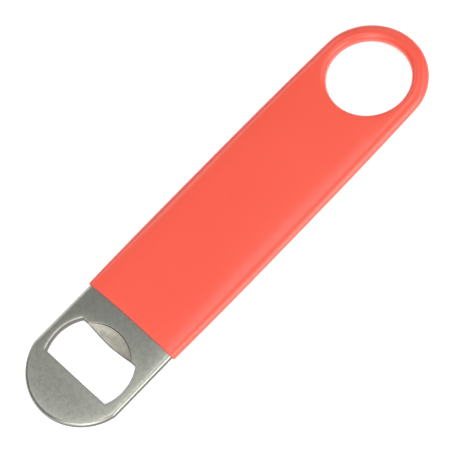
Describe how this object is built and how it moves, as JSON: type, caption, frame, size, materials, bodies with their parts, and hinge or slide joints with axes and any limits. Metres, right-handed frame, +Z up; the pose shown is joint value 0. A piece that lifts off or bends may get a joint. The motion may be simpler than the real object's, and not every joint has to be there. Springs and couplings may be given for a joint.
{
  "type": "flat-bar bottle opener",
  "caption": "Flat steel bar opener for crown caps, with a cap window and thinned prying lip at one end and a vinyl-coated handle with a hanging ring at the other.",
  "frame": {"origin": "on the surface that the opener lies on, under the middle of its length and width", "axes": "+X along the bar from the cap window to the hanging ring, +Z up out of the side with the recess, +Y across the bar"},
  "size_m": [0.178, 0.0416, 0.0048],
  "materials": {
    "blade_steel": "tumbled satin stainless",
    "grip_vinyl": "soft coral vinyl with a low sheen"
  },
  "bodies": {
    "root": {"blade": "blade_steel", "grip_sleeve": "grip_vinyl"}
  },
  "joints": []
}
